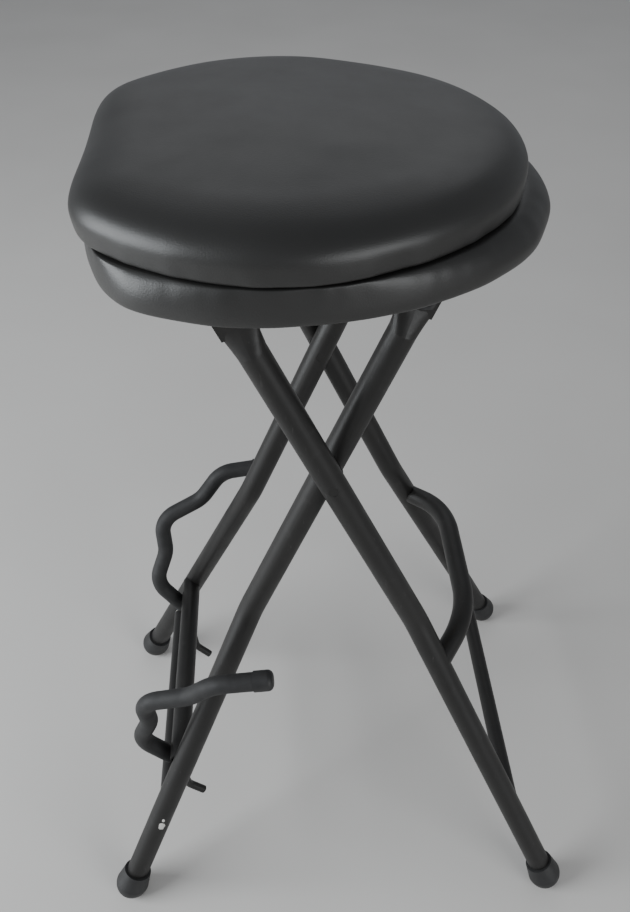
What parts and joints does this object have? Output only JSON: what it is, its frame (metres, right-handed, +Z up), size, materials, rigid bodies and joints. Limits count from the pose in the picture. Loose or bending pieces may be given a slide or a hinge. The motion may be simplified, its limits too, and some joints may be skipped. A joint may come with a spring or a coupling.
{
  "type": "folding guitar stool",
  "caption": "Folding scissor-leg stool with a padded D-shaped seat, a footrest rod in front and swing-out padded guitar cradle arms at the back.",
  "frame": {"origin": "on the floor, midway between the feet, under the scissor pivot", "axes": "+Z up, +X towards the footrest (front), +Y to the sitter's left; y = 0 is the plane of symmetry"},
  "size_m": [0.4604, 0.3928, 0.75],
  "materials": {
    "frame_paint": "satin black powder coat",
    "zinc_hardware": "black zinc plate",
    "rubber": "matt moulded rubber",
    "arm_foam": "matt closed-cell foam sleeve",
    "seat_vinyl": "satin black vinyl over foam",
    "plywood": "bare plywood",
    "nylon": "natural nylon"
  },
  "bodies": {
    "inner_frame": {"inner_leg_right": "frame_paint", "inner_leg_left": "frame_paint", "inner_foot_right": "rubber", "inner_foot_left": "rubber", "cradle_stop_crossbar": "frame_paint", "cradle_axle": "zinc_hardware", "scissor_pivot_pins": "frame_paint", "scissor_pivot_washers": "frame_paint", "seat_hinge_bolts": "frame_paint", "seat_hinge_spacers": "frame_paint", "seat_hinge_nuts": "zinc_hardware"},
    "outer_frame": {"outer_leg_right": "frame_paint", "outer_leg_left": "frame_paint", "outer_foot_right": "rubber", "outer_foot_left": "rubber", "front_crossbar": "frame_paint", "footrest_bar": "frame_paint", "seat_catch_pins": "frame_paint", "seat_catch_nuts": "zinc_hardware"},
    "seat": {"seat_board": "plywood", "seat_base_pad": "seat_vinyl", "seat_cushion": "seat_vinyl", "seat_bracket_right": "frame_paint", "seat_bracket_left": "frame_paint", "bracket_screws": "zinc_hardware"},
    "guitar_cradle": {"guitar_arm_rod_right": "frame_paint", "guitar_arm_rod_left": "frame_paint", "arm_sleeve_right": "arm_foam", "arm_sleeve_left": "arm_foam", "arm_end_cap_right": "rubber", "arm_end_cap_left": "rubber", "cradle_pivot_tube": "frame_paint", "cradle_bushes": "nylon"}
  },
  "joints": [
    {"name": "scissor_fold", "type": "hinge", "parent": "inner_frame", "child": "outer_frame", "pos_m": [0, 0, 0.5056], "axis": [0, 1, 0], "range_deg": [0, 41]},
    {"name": "seat_flip", "type": "hinge", "parent": "inner_frame", "child": "seat", "pos_m": [0.06539, 0, 0.656], "axis": [0, 1, 0], "range_deg": [0, 103]},
    {"name": "cradle_swing", "type": "hinge", "parent": "inner_frame", "child": "guitar_cradle", "pos_m": [-0.168, 0, 0.116], "axis": [0, -1, 0], "range_deg": [0, 114]}
  ],
  "couplings": [
    {"joint": "seat_flip", "follows": "scissor_fold", "ratio": 2.5}
  ]
}
